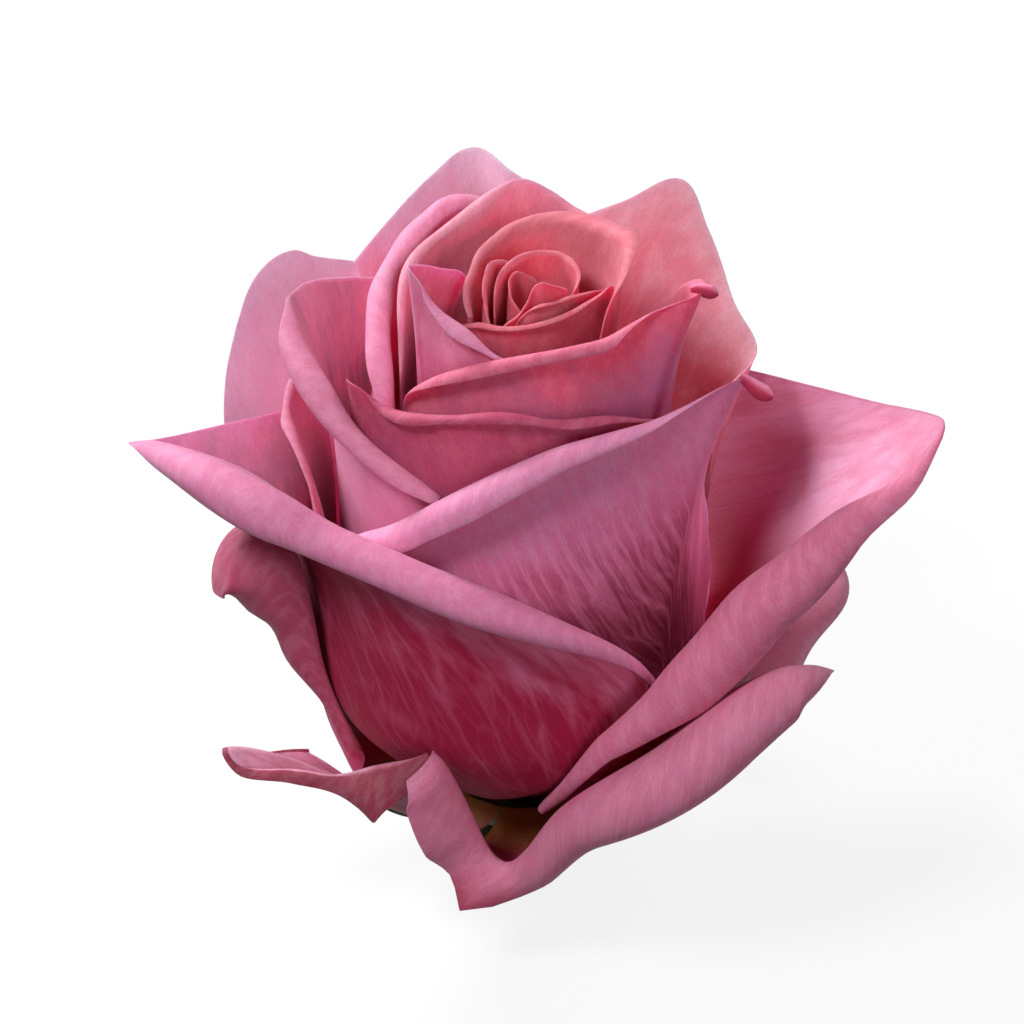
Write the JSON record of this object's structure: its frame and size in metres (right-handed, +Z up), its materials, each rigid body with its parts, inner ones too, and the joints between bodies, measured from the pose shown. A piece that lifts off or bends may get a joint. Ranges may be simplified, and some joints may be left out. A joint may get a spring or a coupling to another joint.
{
  "type": "rose flower head",
  "caption": "Cut rose flower head with pointed, rolled-back petals in whorls round a closed bud, on a short green hip with drooping sepals.",
  "frame": {"origin": "bottom centre of the flower head's bounding box, on the surface that it stands on", "axes": "+Z up along the flower's axis, +X towards the right-hand long petal's tip, -Y towards the viewer that sees the low front petal"},
  "size_m": [0.0764, 0.067, 0.0703],
  "materials": {
    "hip": "matte, fleshy green to olive",
    "sepals": "matte green",
    "guard_petals": "velvety dusty pink",
    "long_petals": "velvety dusty pink, deeper on the wall",
    "back_petals": "velvety coral pink",
    "cup_petals": "velvety dusty pink with paler rims",
    "bud_petals": "velvety coral pink with paler rims"
  },
  "bodies": {
    "root": {"hip": "hip", "petal_back_left": "back_petals", "petal_back_right": "back_petals", "petal_back_top": "back_petals", "petal_bud_back": "bud_petals", "petal_bud_front": "bud_petals", "petal_bud_left": "bud_petals", "petal_cup_front": "cup_petals", "petal_cup_front_inner": "cup_petals", "petal_cup_left": "cup_petals", "petal_cup_right": "cup_petals", "petal_guard_back": "guard_petals", "petal_guard_front": "guard_petals", "petal_guard_front_left": "guard_petals", "petal_guard_left": "guard_petals", "petal_guard_right": "guard_petals", "petal_heart_a": "bud_petals", "petal_heart_b": "bud_petals", "petal_heart_c": "bud_petals", "petal_heart_d": "bud_petals", "petal_heart_e": "bud_petals", "petal_heart_front": "bud_petals", "petal_long_left": "long_petals", "petal_long_right": "long_petals", "petal_ring_back": "cup_petals", "petal_ring_left": "cup_petals", "petal_thin_left": "back_petals", "sepal_back_left": "sepals", "sepal_back_right": "sepals", "sepal_front": "sepals", "sepal_left": "sepals", "sepal_right": "sepals"}
  },
  "joints": []
}
